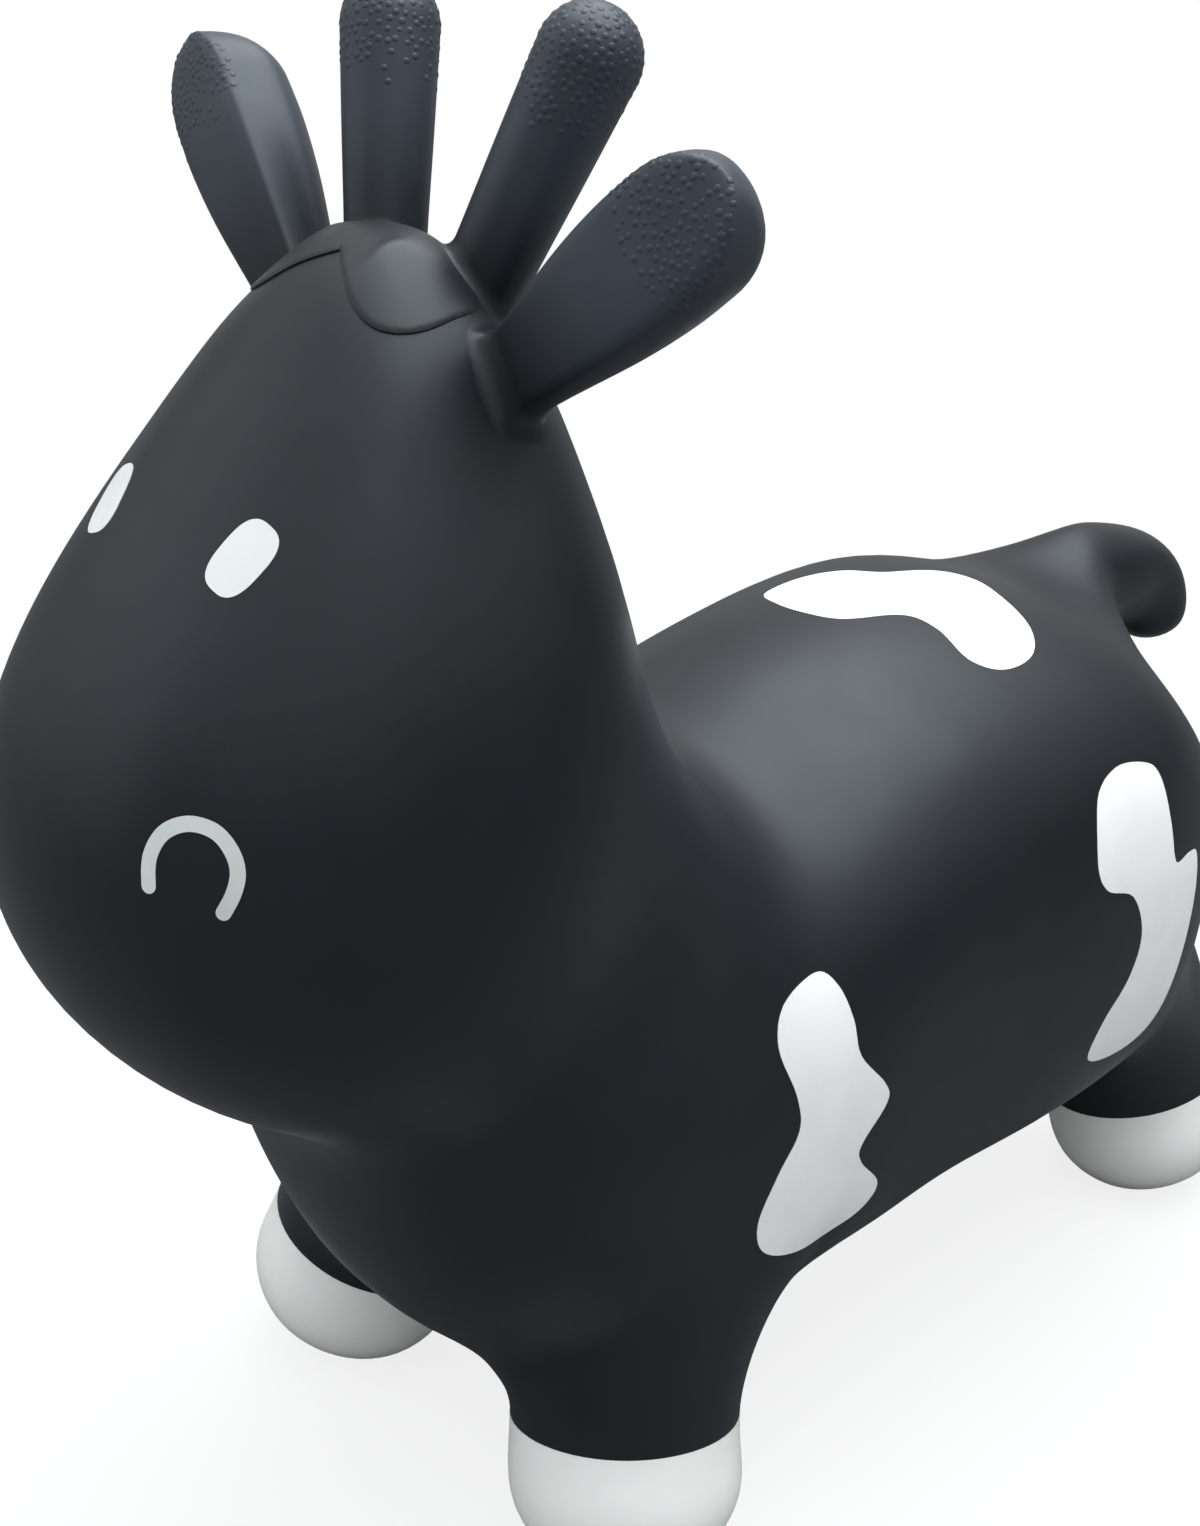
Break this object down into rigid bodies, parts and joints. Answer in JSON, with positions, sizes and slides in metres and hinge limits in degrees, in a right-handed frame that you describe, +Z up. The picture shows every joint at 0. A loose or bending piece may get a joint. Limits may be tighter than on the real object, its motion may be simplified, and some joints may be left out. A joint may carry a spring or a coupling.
{
  "type": "bouncy ride on animal",
  "caption": "Air-filled moulded cow for a small child to sit on and bounce, with short splayed legs, a saddle back, horns and ears to hold, and a tail.",
  "frame": {"origin": "on the floor, under the middle of the animal's bounding box", "axes": "+Z is up, the animal looks along -Y, and its own left side is +X"},
  "size_m": [0.2421, 0.6038, 0.5317],
  "materials": {
    "ear_left": "matt blue-black moulded soft PVC, pebbled at the end for grip",
    "ear_right": "matt blue-black moulded soft PVC, pebbled at the end for grip",
    "eye_left": "white paint, printed on the skin",
    "eye_right": "white paint, printed on the skin",
    "forelock": "matt blue-black moulded soft PVC, raised from the crown",
    "head": "matt blue-black moulded soft PVC",
    "hoof_front_left": "warm off-white paint with a low sheen",
    "hoof_front_right": "warm off-white paint with a low sheen",
    "hoof_rear_left": "warm off-white paint with a low sheen",
    "hoof_rear_right": "warm off-white paint with a low sheen",
    "horn_left": "matt blue-black moulded soft PVC, pebbled over its end for grip",
    "horn_right": "matt blue-black moulded soft PVC, pebbled over its end for grip",
    "leg_front_left": "matt blue-black moulded soft PVC",
    "leg_front_right": "matt blue-black moulded soft PVC",
    "leg_rear_left": "matt blue-black moulded soft PVC",
    "leg_rear_right": "matt blue-black moulded soft PVC",
    "nostril_left": "white paint, a hooked stroke on the muzzle",
    "nostril_right": "white paint, a hooked stroke on the muzzle",
    "patch_back": "white paint",
    "patch_flank_right": "white paint",
    "patch_haunch_right": "white paint",
    "patch_rump_left": "white paint",
    "patch_shoulder_left": "white paint",
    "tail": "matt blue-black moulded soft PVC",
    "torso": "matt blue-black moulded soft PVC",
    "valve_plug": "white stopper with a low sheen",
    "valve_seat": "matt blue-black moulded soft PVC"
  },
  "bodies": {
    "feet": {"hoof_front_left": "hoof_front_left", "hoof_front_right": "hoof_front_right", "hoof_rear_left": "hoof_rear_left", "hoof_rear_right": "hoof_rear_right", "leg_front_left": "leg_front_left", "leg_front_right": "leg_front_right", "leg_rear_left": "leg_rear_left", "leg_rear_right": "leg_rear_right"},
    "body": {"torso": "torso", "head": "head", "tail": "tail", "horn_left": "horn_left", "horn_right": "horn_right", "ear_left": "ear_left", "ear_right": "ear_right", "forelock": "forelock", "eye_left": "eye_left", "eye_right": "eye_right", "nostril_left": "nostril_left", "nostril_right": "nostril_right", "patch_back": "patch_back", "patch_flank_right": "patch_flank_right", "patch_haunch_right": "patch_haunch_right", "patch_rump_left": "patch_rump_left", "patch_shoulder_left": "patch_shoulder_left", "valve_seat": "valve_seat"},
    "plug": {"valve_plug": "valve_plug"}
  },
  "joints": [
    {"name": "bounce", "type": "slide", "parent": "feet", "child": "body", "axis": [0, 0, -1], "range_m": [0, 0.025], "stiffness_N_per_m": 9000, "springref_m": -0.004, "deforming": ["leg_front_left", "leg_front_right", "leg_rear_left", "leg_rear_right"]},
    {"name": "plug_pull", "type": "slide", "parent": "body", "child": "plug", "axis": [0, 0, -1], "range_m": [0, 0.018]}
  ]
}
